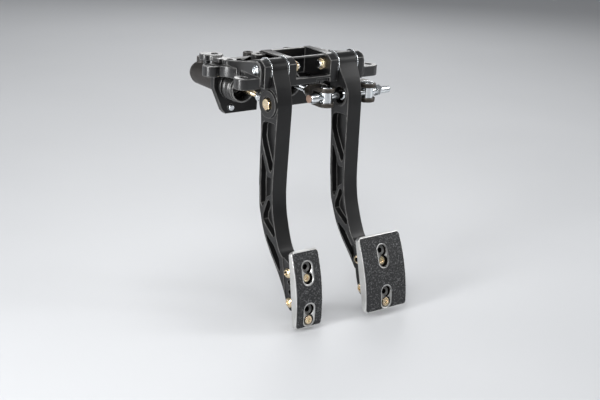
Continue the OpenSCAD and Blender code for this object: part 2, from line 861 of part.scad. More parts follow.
module pad_screw_set() {
    head_r = 5;
    head = 2.8;
    key = 4;
    for (z = slots) translate([0, 0, z - pit_apart]) difference() {
        union() {
            rod_y(pad_screw_r, slot_deep - eps, foot_back + half);
            rod_y(head_r, slot_deep - head, slot_deep);
        }
        hex_y(key, 0, slot_deep - head * half);
    }
}

module pad_bracket(shift) {
    corner = 7;
    left = blade_x - blade_thick;
    right = shift + foot_half;
    difference() {
        union() {
            translate([(left + right) * half, 0, 0])
                along_y(pad_thick, foot_back) round_rect(right - left, 2 * foot_reach, corner);
            along_x(left, blade_x) blade_side(0);
        }
        for (z = blade_rows)
            translate([0, blade_row, z]) rod_x(side_screw_r + slip_fit, left - 1, blade_x + 1);
        for (z = slots) translate([shift, 0, z - pit_apart]) rod_y(pad_screw_r + slip_fit, 0, foot_back + 5);
    }
}

side_head_r = 6.2;
side_head = 4.2;

module side_screw_set() {
    key = 4;
    tip = end_half + 7.5;
    for (z = [blade_rows[0], blade_rows[3]]) translate([0, blade_row, z]) difference() {
        union() {
            rod_x(side_screw_r, blade_x - blade_thick - eps, tip);
            translate([blade_x - blade_thick, 0, 0]) rotate([0, -90, 0]) {
                cylinder(r = side_head_r, h = side_head * half);
                translate([0, 0, side_head * half])
                    cylinder(r1 = side_head_r, r2 = side_head_r - 2.4, h = side_head * half);
            }
        }
        hex_x(key, blade_x - blade_thick - side_head - 1, blade_x - blade_thick - side_head * half);
    }
}

module side_nut_set() {
    flats = 11.1;
    face = end_half;
    for (z = [blade_rows[0], blade_rows[3]]) translate([0, blade_row, z]) difference() {
        hex_x(flats, face, face + 5.5);
        rod_x(side_screw_r, face - 1, face + 8);
    }
}

module at_clutch_pad() {
    at_pivot() translate([clutch_x, 0, 0]) at_pad(clutch_place) children();
}

module at_brake_pad() {
    at_pivot() translate([pedal_x, 0, 0]) rotate([-brake_back, 0, 0]) at_pad(brake_place) children();
}

module clutch_pad() {
    color(silver) at_clutch_pad() translate([clutch_shift, 0, 0]) pad_plate(clutch_wide);
}

module brake_pad() {
    color(silver) at_brake_pad() translate([brake_shift, 0, 0]) pad_plate(brake_wide);
}

module clutch_grip() {
    color(rubber) at_clutch_pad() translate([clutch_shift, 0, 0]) grip_sheet(clutch_wide);
}

module brake_grip() {
    color(rubber) at_brake_pad() translate([brake_shift, 0, 0]) grip_sheet(brake_wide);
}

module clutch_pad_screws() {
    color(gold) at_clutch_pad() translate([clutch_shift, 0, 0]) pad_screw_set();
}

module brake_pad_screws() {
    color(gold) at_brake_pad() translate([brake_shift, 0, 0]) pad_screw_set();
}

module clutch_pad_bracket() {
    color(black) at_clutch_pad() pad_bracket(clutch_shift);
}

module brake_pad_bracket() {
    color(black) at_brake_pad() pad_bracket(brake_shift);
}

module clutch_bracket_screws() {
    color(gold) at_clutch_pad() side_screw_set();
}

module brake_bracket_screws() {
    color(gold) at_brake_pad() side_screw_set();
}

module clutch_bracket_nuts() {
    color(gold) at_clutch_pad() side_nut_set();
}

module brake_bracket_nuts() {
    color(gold) at_brake_pad() side_nut_set();
}

// Clutch linkage

boss_face = 11;
link_flats = 12.7;
link_head = 5.3;

module at_clutch_link() {
    at_pivot() translate([clutch_x, 0, 0]) at_link() children();
}

module clutch_link_bolt() {
    color(gold) at_clutch_link() {
        rod_x(link_r, -boss_face - eps, end_half + 8);
        hex_x(link_flats, -boss_face - link_head, -boss_face);
    }
}

module clutch_link_nut() {
    color(gold) at_clutch_link() difference() {
        hex_x(link_flats, end_half, end_half + 6.5);
        rod_x(link_r, end_half - 1, end_half + 8);
    }
}

neck_r = 5.6;
neck_y = 33;
lock_long = 5;
lock_flats = 11.1;

module clutch_rod_end() {
    eye_half = slot_half - 0.4;
    color(steel) at_clutch_link() difference() {
        union() {
            rod_x(eye_r, -eye_half, eye_half);
            rod_y(neck_r, 0, neck_y);
        }
        rod_x(link_r + run_fit, -eye_half - 1, eye_half + 1);
        rod_y(rod_r, neck_y - 16, neck_y + 1);
    }
}

module clutch_lock_nut() {
    color(steel) at_clutch_link() difference() {
        hex_y(lock_flats, neck_y, neck_y + lock_long);
        rod_y(rod_r, neck_y - 1, neck_y + lock_long + 1);
    }
}

// Pushrod from inside its socket to a rounded tip short of the piston seat
module pushrod(y0, y1) {
    rod_y(rod_r, y0, y1 - rod_r);
    translate([0, y1 - rod_r, 0]) sphere(r = rod_r);
}

seat_gap = 0.4;

module clutch_pushrod() {
    color(gold) at_clutch_link() pushrod(neck_y - 15, seat_y - seat_gap + link_back);
}

// Balance bar linkage

brake_link_y = -link_back * cos(brake_back) - link_drop * sin(brake_back);
brake_link_z = link_back * sin(brake_back) - link_drop * cos(brake_back);
tilt_slack = 2.6;
ball_half = 5.2;
bar_left = -56;
bar_right = 66.4;
tip_r = bar_r - 0.3;
nut_x = clevis_pitch * half + 12.5;
nut_long = 7;
nut_end = nut_x + nut_long;
sleeve_r = 6;

module at_brake_link() {
    at_pivot() translate([pedal_x, brake_link_y, brake_link_z]) children();
}

module bearing_ball() {
    color(steel) at_brake_link() rotate([0, 90, 0]) rotate_extrude() intersection() {
        circle(r = ball_r);
        translate([bar_r + run_fit, -ball_half]) square([ball_r, 2 * ball_half]);
    }
}

module balance_bar() {
    sleeve = 12;
    collar = 2;
    color(silver) at_brake_link() {
        rod_x(bar_r, bar_left, nut_end);
        rod_x(tip_r, nut_end - eps, bar_right);
        rod_x(sleeve_r, bar_left, bar_left + sleeve);
        for (x = [-ball_half - collar - slip_fit, ball_half + slip_fit]) rod_x(bar_r + 1.4, x, x + collar);
    }
}

module bar_end_disc() {
    color(copper) at_brake_link() rod_x(sleeve_r - 1.2, bar_left - 1.4, bar_left);
}

module bar_end_nut() {
    color(silver) at_brake_link() difference() {
        hex_x(pivot_flats, nut_x, nut_end);
        rod_x(bar_r, nut_x - 1, nut_end + 1);
    }
}

jaw_gap = 13;
jaw_thick = 5;
trunnion_half = jaw_gap * half + jaw_thick + 1;
jaw_r = 10.5;
socket_y = 20;
socket_end = 33;
socket_r = 8;

module trunnion() {
    difference() {
        rod_z(trunnion_r, -trunnion_half, trunnion_half);
        rod_x(bar_r + run_fit, -trunnion_r - 1, trunnion_r + 1);
    }
}

module left_trunnion() {
    color(steel) at_brake_link() translate([-clevis_pitch * half, 0, 0]) trunnion();
}

module right_trunnion() {
    color(steel) at_brake_link() translate([clevis_pitch * half, 0, 0]) trunnion();
}

module clevis() {
    jaw_top = jaw_gap * half + jaw_thick;
    difference() {
        union() {
            rod_z(jaw_r, -jaw_top, jaw_top);
            translate([-jaw_r, 0, -jaw_top]) cube([2 * jaw_r, socket_y, 2 * jaw_top]);
            rod_y(socket_r, socket_y - eps, socket_end);
        }
        translate([-jaw_r - 1, -jaw_r - 1, -jaw_gap * half])
            cube([2 * jaw_r + 2, jaw_r + socket_y - 6, jaw_gap]);
        rod_z(trunnion_r + run_fit, -jaw_top - 1, jaw_top + 1);
        rod_y(rod_r, socket_y - 4, socket_end + 1);
    }
}

module left_clevis() {
    color(oxide) at_brake_link() translate([-clevis_pitch * half, 0, 0]) clevis();
}

module right_clevis() {
    color(oxide) at_brake_link() translate([clevis_pitch * half, 0, 0]) clevis();
}

module brake_pushrod() {
    pushrod(socket_y - 3, seat_y - seat_gap - tilt_slack - brake_link_y);
}

module left_pushrod() {
    color(silver) at_brake_link() translate([-clevis_pitch * half, 0, 0]) brake_pushrod();
}

module right_pushrod() {
    color(silver) at_brake_link() translate([clevis_pitch * half, 0, 0]) brake_pushrod();
}

module lock_nut() {
    difference() {
        hex_y(lock_flats, socket_end, socket_end + lock_long);
        rod_y(rod_r, socket_end - 1, socket_end + lock_long + 1);
    }
}

module left_lock_nut() {
    color(steel) at_brake_link() translate([-clevis_pitch * half, 0, 0]) lock_nut();
}

module right_lock_nut() {
    color(steel) at_brake_link() translate([clevis_pitch * half, 0, 0]) lock_nut();
}

main_frame();
left_bracket();
right_bracket();
cylinder_plate();
plate_screws();
bracket_dowels();
pivot_bolts();
pivot_nuts();
thrust_washers();
clutch_cylinder();
left_brake_cylinder();
right_brake_cylinder();
flange_bolts();
flange_washers();
clutch_boot();
left_brake_boot();
right_brake_boot();
stop_rings();
clutch_arm();
clutch_bushes();
clutch_pad_bracket();
clutch_bracket_screws();
clutch_bracket_nuts();
clutch_pad();
clutch_grip();
clutch_pad_screws();
clutch_link_bolt();
clutch_link_nut();
clutch_rod_end();
clutch_pushrod();
clutch_lock_nut();
clutch_piston();
brake_arm();
brake_bushes();
brake_pad_bracket();
brake_bracket_screws();
brake_bracket_nuts();
brake_pad();
brake_grip();
brake_pad_screws();
bearing_race();
bearing_ball();
balance_bar();
bar_end_disc();
bar_end_nut();
left_trunnion();
right_trunnion();
left_clevis();
right_clevis();
left_pushrod();
right_pushrod();
left_lock_nut();
right_lock_nut();
left_piston();
right_piston();
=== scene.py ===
# %% [markdown]
# # Dressing a hanging two-pedal box
# The real object is a clutch pedal and a brake pedal that hang from one machined frame, with three
# hydraulic cylinders bolted to a plate at the back. Its sizes are already settled in the packed
# solids, so this lesson only gives those solids soft edges, real fasteners and finishes.
# The solids could be modelled again by hand, but then nothing would promise that they fit. Loading
# them once as a fixed frame keeps every hole and joint where it was measured.

# %% Load the measured frame
import json
import math

import bpy
from mathutils import Matrix, Vector


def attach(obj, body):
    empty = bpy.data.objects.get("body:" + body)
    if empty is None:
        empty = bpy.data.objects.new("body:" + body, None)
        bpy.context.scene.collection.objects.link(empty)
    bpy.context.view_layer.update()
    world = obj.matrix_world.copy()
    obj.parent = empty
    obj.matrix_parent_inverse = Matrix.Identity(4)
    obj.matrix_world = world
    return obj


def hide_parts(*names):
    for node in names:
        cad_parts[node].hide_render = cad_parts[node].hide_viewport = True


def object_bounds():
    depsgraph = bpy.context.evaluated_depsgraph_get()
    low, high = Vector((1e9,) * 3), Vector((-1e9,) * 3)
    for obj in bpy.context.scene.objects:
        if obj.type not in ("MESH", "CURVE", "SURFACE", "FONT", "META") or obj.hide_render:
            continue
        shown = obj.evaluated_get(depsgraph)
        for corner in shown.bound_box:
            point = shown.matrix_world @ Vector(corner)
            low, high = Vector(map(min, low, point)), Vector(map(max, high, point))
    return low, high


MM = 0.001
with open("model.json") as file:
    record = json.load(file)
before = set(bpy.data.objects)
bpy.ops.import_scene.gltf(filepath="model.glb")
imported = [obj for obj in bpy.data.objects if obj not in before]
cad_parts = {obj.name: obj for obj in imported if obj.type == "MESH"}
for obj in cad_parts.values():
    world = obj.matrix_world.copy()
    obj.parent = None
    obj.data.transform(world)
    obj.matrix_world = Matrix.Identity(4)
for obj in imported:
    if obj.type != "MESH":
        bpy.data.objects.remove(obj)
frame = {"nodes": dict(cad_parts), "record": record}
cad_box = [list(corner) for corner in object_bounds()]
print("box in mm", [[round(v / MM, 1) for v in corner] for corner in cad_box])

# %% [markdown]
# The photograph looks at the box from the driver's left and from a little above, through a long
# lens. A camera can be aimed with a Track To constraint, but the picture is also rolled by about
# three degrees, which tracking would undo. So the three directions of the camera (its right, its up
# and its line of sight) are written down and become the columns of its matrix.

# %% Camera
sight = Vector((0.5678, 0.7542, -0.3299)).normalized()
to_right = Vector((0.809, -0.5853, 0.0543))
to_right = (to_right - sight * to_right.dot(sight)).normalized()
upward = to_right.cross(sight)
camera = bpy.data.objects.new("camera", bpy.data.cameras.new("camera"))
bpy.context.scene.collection.objects.link(camera)
turn = Matrix((to_right, upward, -sight)).transposed().to_4x4()
camera.matrix_world = Matrix.Translation((-0.8078, -1.1061, 0.3053)) @ turn
camera.data.sensor_width = 36
camera.data.lens = 69
camera.data.clip_start = 0.01
bpy.context.scene.camera = camera
print("camera at", [round(v, 3) for v in camera.matrix_world.translation])

# %% [markdown]
# A studio table is one sheet that lies flat under the object and curves up behind it, so that no
# corner shows. One plane would do for the floor, but its far edge would cut the picture. Here the far
# edge is extruded step by step along a quarter circle, which gives the sweep of a paper backdrop.

# %% Helpers for selecting and editing
def only(piece):
    """Selects one object alone, in object mode, and makes it the active one."""
    if bpy.context.mode != "OBJECT":
        bpy.ops.object.mode_set(mode="OBJECT")
    bpy.ops.object.select_all(action="DESELECT")
    piece.hide_set(False)
    piece.select_set(True)
    bpy.context.view_layer.objects.active = piece


def edit_all(piece):
    """Opens one object in edit mode with everything in it selected."""
    only(piece)
    bpy.ops.object.mode_set(mode="EDIT")
    bpy.ops.mesh.select_mode(type="FACE")
    bpy.ops.mesh.select_all(action="SELECT")


def applied(piece, kind, **settings):
    """Adds one modifier, sets it and applies it."""
    only(piece)
    modifier = piece.modifiers.new(kind.lower(), kind)
    for key, value in settings.items():
        setattr(modifier, key, value)
    bpy.ops.object.modifier_apply(modifier=modifier.name)
    return piece


bpy.ops.object.select_all(action="DESELECT")

# %% Floor and backdrop
floor_z = cad_box[0][2] - 5 * MM
bpy.ops.mesh.primitive_plane_add(size=6, location=(0, 0, floor_z))
floor = bpy.context.object
floor.name = "studio_floor"
bpy.ops.object.transform_apply(location=True, rotation=True, scale=True)
far_edge = [v.index for v in floor.data.vertices if v.co.y > 0]
sweep, sweep_steps, wall_high = 1.5, 12, 2.5
bpy.ops.object.mode_set(mode="EDIT")
bpy.ops.mesh.select_mode(type="EDGE")
bpy.ops.mesh.select_all(action="DESELECT")
bpy.ops.object.mode_set(mode="OBJECT")
for edge in floor.data.edges:
    edge.select = all(i in far_edge for i in edge.vertices)
bpy.ops.object.mode_set(mode="EDIT")
last = (0.0, 0.0)
for step in range(1, sweep_steps + 1):
    angle = math.radians(90 * step / sweep_steps)
    here = (sweep * math.sin(angle), sweep * (1 - math.cos(angle)))
    shift = (0, here[0] - last[0], here[1] - last[1])
    bpy.ops.mesh.extrude_region_move(TRANSFORM_OT_translate={"value": shift})
    last = here
bpy.ops.mesh.extrude_region_move(TRANSFORM_OT_translate={"value": (0, 0, wall_high)})
only(floor)
bpy.ops.object.shade_smooth()
print("floor", round(floor_z, 4), "m, faces", len(floor.data.polygons))

# %% [markdown]
# Black metal is drawn by what it mirrors. Small lamps would leave hard spots on it, and a bright
# room would turn it grey. Large area lamps give long soft highlights along the edges instead: a key
# from the upper left, strips from the left, the right and the left rear, a wide one overhead and one
# behind that is mirrored in the flat tops, with a quiet world as fill.

# %% Lamps and world
def area_lamp(name, place, aim, wide, high, watts):
    """A rectangular lamp at a place, turned to face a point."""
    lamp = bpy.data.objects.new(name, bpy.data.lights.new(name, "AREA"))
    bpy.context.scene.collection.objects.link(lamp)
    lamp.data.shape = "RECTANGLE"
    lamp.data.size, lamp.data.size_y = wide, high
    lamp.data.energy = watts
    lamp.location = place
    direction = Vector(aim) - Vector(place)
    lamp.rotation_euler = direction.to_track_quat("-Z", "Y").to_euler()


middle = (0.0, 0.0, -0.12)
area_lamp("key_lamp", (-1.2, -1.0, 1.5), middle, 0.8, 0.8, 17)
area_lamp("strip_lamp", (1.3, -0.9, 0.5), middle, 0.3, 1.3, 11)
area_lamp("top_lamp", (0.1, 0.2, 1.5), middle, 0.9, 0.9, 13)
area_lamp("left_lamp", (-1.45, -0.3, 0.14), middle, 0.4, 1.1, 27)
area_lamp("back_lamp", (1.1, 1.5, 0.7), middle, 1.4, 0.5, 9)
area_lamp("left_back_lamp", (-1.3, 1.15, 0.1), middle, 0.35, 1.0, 4.5)
world = bpy.data.worlds.new("studio_world")
world.use_nodes = True
fill = world.node_tree.nodes["Background"].inputs
fill["Color"].default_value = (0.80, 0.82, 0.85, 1)
fill["Strength"].default_value = 0.25
bpy.context.scene.world = world
bpy.context.scene.view_settings.view_transform = "Standard"

# %% [markdown]
# ## Effects that several finishes share
# Anodised, plated and cast metal all vary in the same few ways: a fine grain, tool lines, smudges, and corners
# that catch the light, which are drawn as a painted highlight. Each could be built again in every material. As
# node groups they are built once, with named inputs, and each finish uses them with its own values.

# %% A helper that opens a node group
def open_group(name, inputs, outputs):
    """A new group that takes a place and named numbers; returns it, what it is given and what it owes."""
    group = bpy.data.node_groups.new(name, "ShaderNodeTree")
    group.interface.new_socket("Where", in_out="INPUT", socket_type="NodeSocketVector")
    for label, value in inputs:
        socket = group.interface.new_socket(label, in_out="INPUT", socket_type="NodeSocketFloat")
        socket.default_value = value
    for label in outputs:
        group.interface.new_socket(label, in_out="OUTPUT", socket_type="NodeSocketFloat")
    start = group.nodes.new("NodeGroupInput")
    end = group.nodes.new("NodeGroupOutput")
    return group, start.outputs, end.inputs


def noise_in(group, where, scale, detail=3.0, rough=0.55):
    """A noise node in a group or material; scale is a socket or a number."""
    noise = group.nodes.new("ShaderNodeTexNoise")
    noise.inputs["Detail"].default_value = detail
    noise.inputs["Roughness"].default_value = rough
    group.links.new(where, noise.inputs["Vector"])
    if isinstance(scale, (int, float)):
        noise.inputs["Scale"].default_value = scale
    else:
        group.links.new(scale, noise.inputs["Scale"])
    return noise.outputs["Fac"]


def ranged(tree, value, low, high, to_low=0.0, to_high=1.0):
    """Maps a value from one range to another and clamps it."""
    node = tree.nodes.new("ShaderNodeMapRange")
    tree.links.new(value, node.inputs["Value"])
    for label, number in (("From Min", low), ("From Max", high), ("To Min", to_low), ("To Max", to_high)):
        node.inputs[label].default_value = number
    return node.outputs["Result"]


def sums(tree, kind, first, second):
    """One Math node of two values, each a socket or a number."""
    node = tree.nodes.new("ShaderNodeMath")
    node.operation = kind
    for slot, value in zip(node.inputs, (first, second)):
        if isinstance(value, (int, float)):
            slot.default_value = value
        else:
            tree.links.new(value, slot)
    return node.outputs["Value"]


# %% Fine grain: the matt tooth of anodising and casting
fine_grain, given, wanted = open_group(
    "fine_grain", [("Grain Scale", 900.0), ("Blotch Scale", 40.0)], ["Height", "Blotch"])
fine_grain.links.new(noise_in(fine_grain, given["Where"], given["Grain Scale"], 4.0, 0.6), wanted["Height"])
blotch = noise_in(fine_grain, given["Where"], given["Blotch Scale"], 3.0, 0.5)
fine_grain.links.new(ranged(fine_grain, blotch, 0.32, 0.68), wanted["Blotch"])
print("group", fine_grain.name)

# %% Tool lines: the shallow marks that a cutter leaves across a face
tool_lines, given, wanted = open_group(
    "tool_lines", [("Line Scale", 260.0), ("Waver", 2.0)], ["Height", "Streak"])
wave = tool_lines.nodes.new("ShaderNodeTexWave")
wave.bands_direction = "Z"
tool_lines.links.new(given["Where"], wave.inputs["Vector"])
tool_lines.links.new(given["Line Scale"], wave.inputs["Scale"])
tool_lines.links.new(given["Waver"], wave.inputs["Distortion"])
wave.inputs["Detail"].default_value = 2.0
stretch = tool_lines.nodes.new("ShaderNodeMapping")
stretch.inputs["Scale"].default_value = (30, 60, 900)
tool_lines.links.new(given["Where"], stretch.inputs["Vector"])
streak = noise_in(tool_lines, stretch.outputs["Vector"], 1.0, 2.0)
tool_lines.links.new(wave.outputs["Fac"], wanted["Height"])
tool_lines.links.new(ranged(tool_lines, streak, 0.3, 0.7), wanted["Streak"])
print("group", tool_lines.name)

# %% [markdown]
# Corners catch the light, and here that light is a painted highlight: a paler colour on the corners. The
# Pointiness of the Geometry node could find corners, but it is kept at vertices and smears over large flat
# faces. The small faces that the Bevel modifier adds are the corners themselves, so they carry a value for this
# painted highlight, and this group reads it and breaks it up with noise.

# %% Painted edge highlight
painted_edge_highlight, given, wanted = open_group("painted_edge_highlight", [("Amount", 1.0)], ["Mask"])
corner = painted_edge_highlight.nodes.new("ShaderNodeAttribute")
corner.attribute_name = "edge_highlight"
patchy = ranged(painted_edge_highlight, noise_in(painted_edge_highlight, given["Where"], 120.0), 0.35, 0.62, 0.35, 1.0)
lit_corners = sums(painted_edge_highlight, "MULTIPLY", corner.outputs["Fac"], patchy)
painted_edge_highlight.links.new(sums(painted_edge_highlight, "MULTIPLY", lit_corners, given["Amount"]), wanted["Mask"])
print("group", painted_edge_highlight.name)

# %% Smudges: thin handling marks that change the gloss and not the colour
smudges, given, wanted = open_group("smudges", [("Low", 0.3), ("High", 0.5)], ["Rough"])
film = noise_in(smudges, given["Where"], 22.0, 5.0, 0.65)
level = smudges.nodes.new("ShaderNodeMapRange")
smudges.links.new(film, level.inputs["Value"])
level.inputs["From Min"].default_value, level.inputs["From Max"].default_value = 0.3, 0.7
smudges.links.new(given["Low"], level.inputs["To Min"])
smudges.links.new(given["High"], level.inputs["To Max"])
smudges.links.new(level.outputs["Result"], wanted["Rough"])
print("group", smudges.name)

# %% Grit: crushed grains bonded in a sheet
grit, given, wanted = open_group("grit", [("Grain Scale", 620.0)], ["Height", "Fleck"])
cells = grit.nodes.new("ShaderNodeTexVoronoi")
grit.links.new(given["Where"], cells.inputs["Vector"])
grit.links.new(given["Grain Scale"], cells.inputs["Scale"])
soft = noise_in(grit, given["Where"], 520.0, 4.0, 0.6)
lump = sums(grit, "ADD", sums(grit, "MULTIPLY", cells.outputs["Distance"], -0.8), soft)
grit.links.new(lump, wanted["Height"])
grit.links.new(ranged(grit, soft, 0.52, 0.68), wanted["Fleck"])
print("group", grit.name)

# %% [markdown]
# ## Finishes
# Every finish below starts from one Principled shader. Numbers that are the same all over a surface
# are set on the shader itself. Only what varies comes through nodes, and every pattern reads Object
# coordinates, so that it stays on the metal when a pedal swings.

# %% Helpers that open a finish
def open_finish(name, metallic, specular=0.5):
    """A new material with one Principled shader; returns it, its tree, the shader's inputs and the place."""
    material = bpy.data.materials.new(name)
    material.use_nodes = True
    tree = material.node_tree
    tree.nodes.clear()
    shader = tree.nodes.new("ShaderNodeBsdfPrincipled")
    tree.links.new(shader.outputs["BSDF"], tree.nodes.new("ShaderNodeOutputMaterial").inputs["Surface"])
    shader.inputs["Metallic"].default_value = metallic
    shader.inputs["Specular IOR Level"].default_value = specular
    return material, tree, shader.inputs, tree.nodes.new("ShaderNodeTexCoord").outputs["Object"]


def using(tree, group, where, **values):
    """Puts a shared effect into a finish, with values for its named inputs."""
    node = tree.nodes.new("ShaderNodeGroup")
    node.node_tree = group
    tree.links.new(where, node.inputs["Where"])
    for label, value in values.items():
        node.inputs[label.replace("_", " ")].default_value = value
    return node.outputs


def toned(tree, mask, first, second):
    """Mixes two colours by a mask; each is a colour or a socket."""
    mix = tree.nodes.new("ShaderNodeMix")
    mix.data_type = "RGBA"
    tree.links.new(mask, mix.inputs["Factor"])
    for slot, value in ((mix.inputs[6], first), (mix.inputs[7], second)):
        if isinstance(value, tuple):
            slot.default_value = value + (1,)
        else:
            tree.links.new(value, slot)
    return mix.outputs[2]


def embossed(tree, shader, height, strength, depth):
    """Feeds a height through a Bump node into the shader's normal."""
    bump = tree.nodes.new("ShaderNodeBump")
    bump.inputs["Strength"].default_value = strength
    bump.inputs["Distance"].default_value = depth
    tree.links.new(height, bump.inputs["Height"])
    tree.links.new(bump.outputs["Normal"], shader["Normal"])


finishes = {}

# %% [markdown]
# The frame, the arms and the brackets are aluminium with a black anodised skin. A black plastic look would come
# from one dark colour. The real skin is a little brown where it is thin and shows the cutter's lines in its
# gloss. Its corners catch the light, and that light is a painted highlight, a paler colour on the bevelled
# corners. The brackets and the frame are tumbled before they are dyed, so they shine more than the arms. A
# "polish" value on the mesh sets how much of a thin glossy coat they get.

# %% Black anodised aluminium
material, tree, shader, where = open_finish("black_anodised", 0.0, 0.34)
grain = using(tree, fine_grain, where, Grain_Scale=1400.0, Blotch_Scale=35.0)
lines = using(tree, tool_lines, where, Line_Scale=210.0, Waver=1.2)
edge_lit = using(tree, painted_edge_highlight, where, Amount=1.0)
skin = toned(tree, grain["Blotch"], (0.0058, 0.0058, 0.0063), (0.0095, 0.0093, 0.0095))
# The pale grey mixed in on the bevelled corners is a painted highlight, broken up by noise.
tree.links.new(toned(tree, edge_lit["Mask"], skin, (0.30, 0.295, 0.285)), shader["Base Color"])
gloss = using(tree, smudges, where, Low=0.27, High=0.31)
tree.links.new(sums(tree, "ADD", gloss["Rough"], sums(tree, "MULTIPLY", lines["Streak"], 0.05)),
               shader["Roughness"])
height = sums(tree, "ADD", sums(tree, "MULTIPLY", lines["Height"], 0.35), grain["Height"])
embossed(tree, shader, height, 0.035, 0.0003)
sheen = tree.nodes.new("ShaderNodeAttribute")
sheen.attribute_name = "polish"
tree.links.new(sums(tree, "MULTIPLY", sheen.outputs["Fac"], 0.7), shader["Coat Weight"])
shader["Coat Roughness"].default_value = 0.17
finishes["black_anodised"] = material
print("finish", material.name)

# %% [markdown]
# The cylinder bodies are a dull, dark anodised casting with a warm brown cast. Their skin is rougher
# than the frame's because castings are not cut all over.

# %% Dark cylinder casting
material, tree, shader, where = open_finish("cylinder_alloy", 0.0, 0.4)
grain = using(tree, fine_grain, where, Grain_Scale=700.0, Blotch_Scale=60.0)
edge_lit = using(tree, painted_edge_highlight, where, Amount=1.0)
skin = toned(tree, grain["Blotch"], (0.012, 0.0105, 0.0095), (0.022, 0.019, 0.017))
# The grey on the bevelled corners is a painted highlight.
tree.links.new(toned(tree, edge_lit["Mask"], skin, (0.12, 0.11, 0.10)), shader["Base Color"])
tree.links.new(using(tree, smudges, where, Low=0.38, High=0.55)["Rough"], shader["Roughness"])
embossed(tree, shader, grain["Height"], 0.25, 0.0005)
finishes["cylinder_alloy"] = material
print("finish", material.name)

# %% [markdown]
# The pads are bare aluminium that is brushed along its sides and faced with grit. Their screw pits sit in
# shade, and that shade is painted: a near black colour on the pit faces, which are also made rougher. A second
# finish could be put on those faces. One finish that reads a painted shade value from the mesh is simpler,
# because a piece then keeps a single finish.

# %% Bare brushed aluminium of the pads
material, tree, shader, where = open_finish("bare_alloy", 1.0)
grain = using(tree, fine_grain, where, Grain_Scale=1600.0, Blotch_Scale=50.0)
lines = using(tree, tool_lines, where, Line_Scale=420.0, Waver=1.0)
clean = toned(tree, grain["Blotch"], (0.60, 0.595, 0.58), (0.72, 0.72, 0.71))
pit_shade_mask = tree.nodes.new("ShaderNodeAttribute")
pit_shade_mask.attribute_name = "painted_pit_shade"
# The near black on the pit faces is painted shade, and it also makes them rougher.
tree.links.new(toned(tree, pit_shade_mask.outputs["Fac"], clean, (0.014, 0.0125, 0.011)), shader["Base Color"])
gloss = using(tree, smudges, where, Low=0.28, High=0.40)
gloss = sums(tree, "ADD", gloss["Rough"], sums(tree, "MULTIPLY", lines["Streak"], 0.10))
gloss = sums(tree, "ADD", gloss, sums(tree, "MULTIPLY", pit_shade_mask.outputs["Fac"], 0.45))
tree.links.new(gloss, shader["Roughness"])
embossed(tree, shader, sums(tree, "ADD", lines["Streak"], grain["Height"]), 0.08, 0.0003)
finishes["bare_alloy"] = material
print("finish", material.name)

# %% [markdown]
# Steel fasteners are plated against rust. Yellow zinc carries a gold film that shades into pink and
# green where it is thicker, and bright zinc is a cool blue white. Both are metals, so the tint sits
# in the base colour.

# %% Yellow zinc plate
material, tree, shader, where = open_finish("yellow_zinc", 1.0)
grain = using(tree, fine_grain, where, Grain_Scale=1100.0, Blotch_Scale=170.0)
bloom = ranged(tree, noise_in(tree, where, 260.0, 2.0), 0.42, 0.66)
film = toned(tree, grain["Blotch"], (0.73, 0.59, 0.34), (0.86, 0.75, 0.52))
tree.links.new(toned(tree, bloom, film, (0.80, 0.62, 0.44)), shader["Base Color"])
tree.links.new(using(tree, smudges, where, Low=0.16, High=0.26)["Rough"], shader["Roughness"])
embossed(tree, shader, grain["Height"], 0.06, 0.0003)
finishes["yellow_zinc"] = material
print("finish", material.name)

# %% Bright zinc plate
material, tree, shader, where = open_finish("bright_zinc", 1.0)
grain = using(tree, fine_grain, where, Grain_Scale=1200.0, Blotch_Scale=140.0)
tree.links.new(toned(tree, grain["Blotch"], (0.72, 0.76, 0.79), (0.86, 0.88, 0.89)), shader["Base Color"])
tree.links.new(using(tree, smudges, where, Low=0.12, High=0.22)["Rough"], shader["Roughness"])
embossed(tree, shader, grain["Height"], 0.06, 0.0003)
finishes["bright_zinc"] = material
print("finish", material.name)

# %% [markdown]
# The clevises are steel that is blackened and oiled, which leaves a brown black skin that is half
# metal in the light. The disc at the end of the bar is coppery and the bushes are bronze. Two such
# metals could be two cells, but they differ only in their colours, so one loop makes both.

# %% Oiled black steel of the clevises
material, tree, shader, where = open_finish("black_steel", 0.55)
grain = using(tree, fine_grain, where, Grain_Scale=800.0, Blotch_Scale=110.0)
edge_lit = using(tree, painted_edge_highlight, where, Amount=1.0)
skin = toned(tree, grain["Blotch"], (0.035, 0.030, 0.025), (0.075, 0.064, 0.052))
# The brown grey on the bevelled corners is a painted highlight.
tree.links.new(toned(tree, edge_lit["Mask"], skin, (0.22, 0.20, 0.18)), shader["Base Color"])
tree.links.new(using(tree, smudges, where, Low=0.30, High=0.46)["Rough"], shader["Roughness"])
embossed(tree, shader, grain["Height"], 0.12, 0.0004)
finishes["black_steel"] = material
print("finish", material.name)

# %% Copper disc and bronze bushes
for name, dull, clean in (("copper_disc", (0.40, 0.25, 0.19), (0.60, 0.42, 0.33)),
                          ("bush_bronze", (0.36, 0.25, 0.11), (0.52, 0.38, 0.19))):
    material, tree, shader, where = open_finish(name, 1.0)
    grain = using(tree, fine_grain, where, Grain_Scale=1000.0, Blotch_Scale=180.0)
    tree.links.new(toned(tree, grain["Blotch"], dull, clean), shader["Base Color"])
    tree.links.new(using(tree, smudges, where, Low=0.30, High=0.45)["Rough"], shader["Roughness"])
    embossed(tree, shader, grain["Height"], 0.10, 0.0003)
    finishes[name] = material
print("finishes", sorted(finishes))

# %% [markdown]
# The dust boots are soft black rubber, and the pads wear a sheet of bonded grit like the deck of a board.
# Rubber has a soft sheen, and the light on the boots' lip and thin rib is a painted highlight, a grey in their
# colour. The sheet's grains catch the light one by one, so its colour has pale flecks and its bump is coarse.

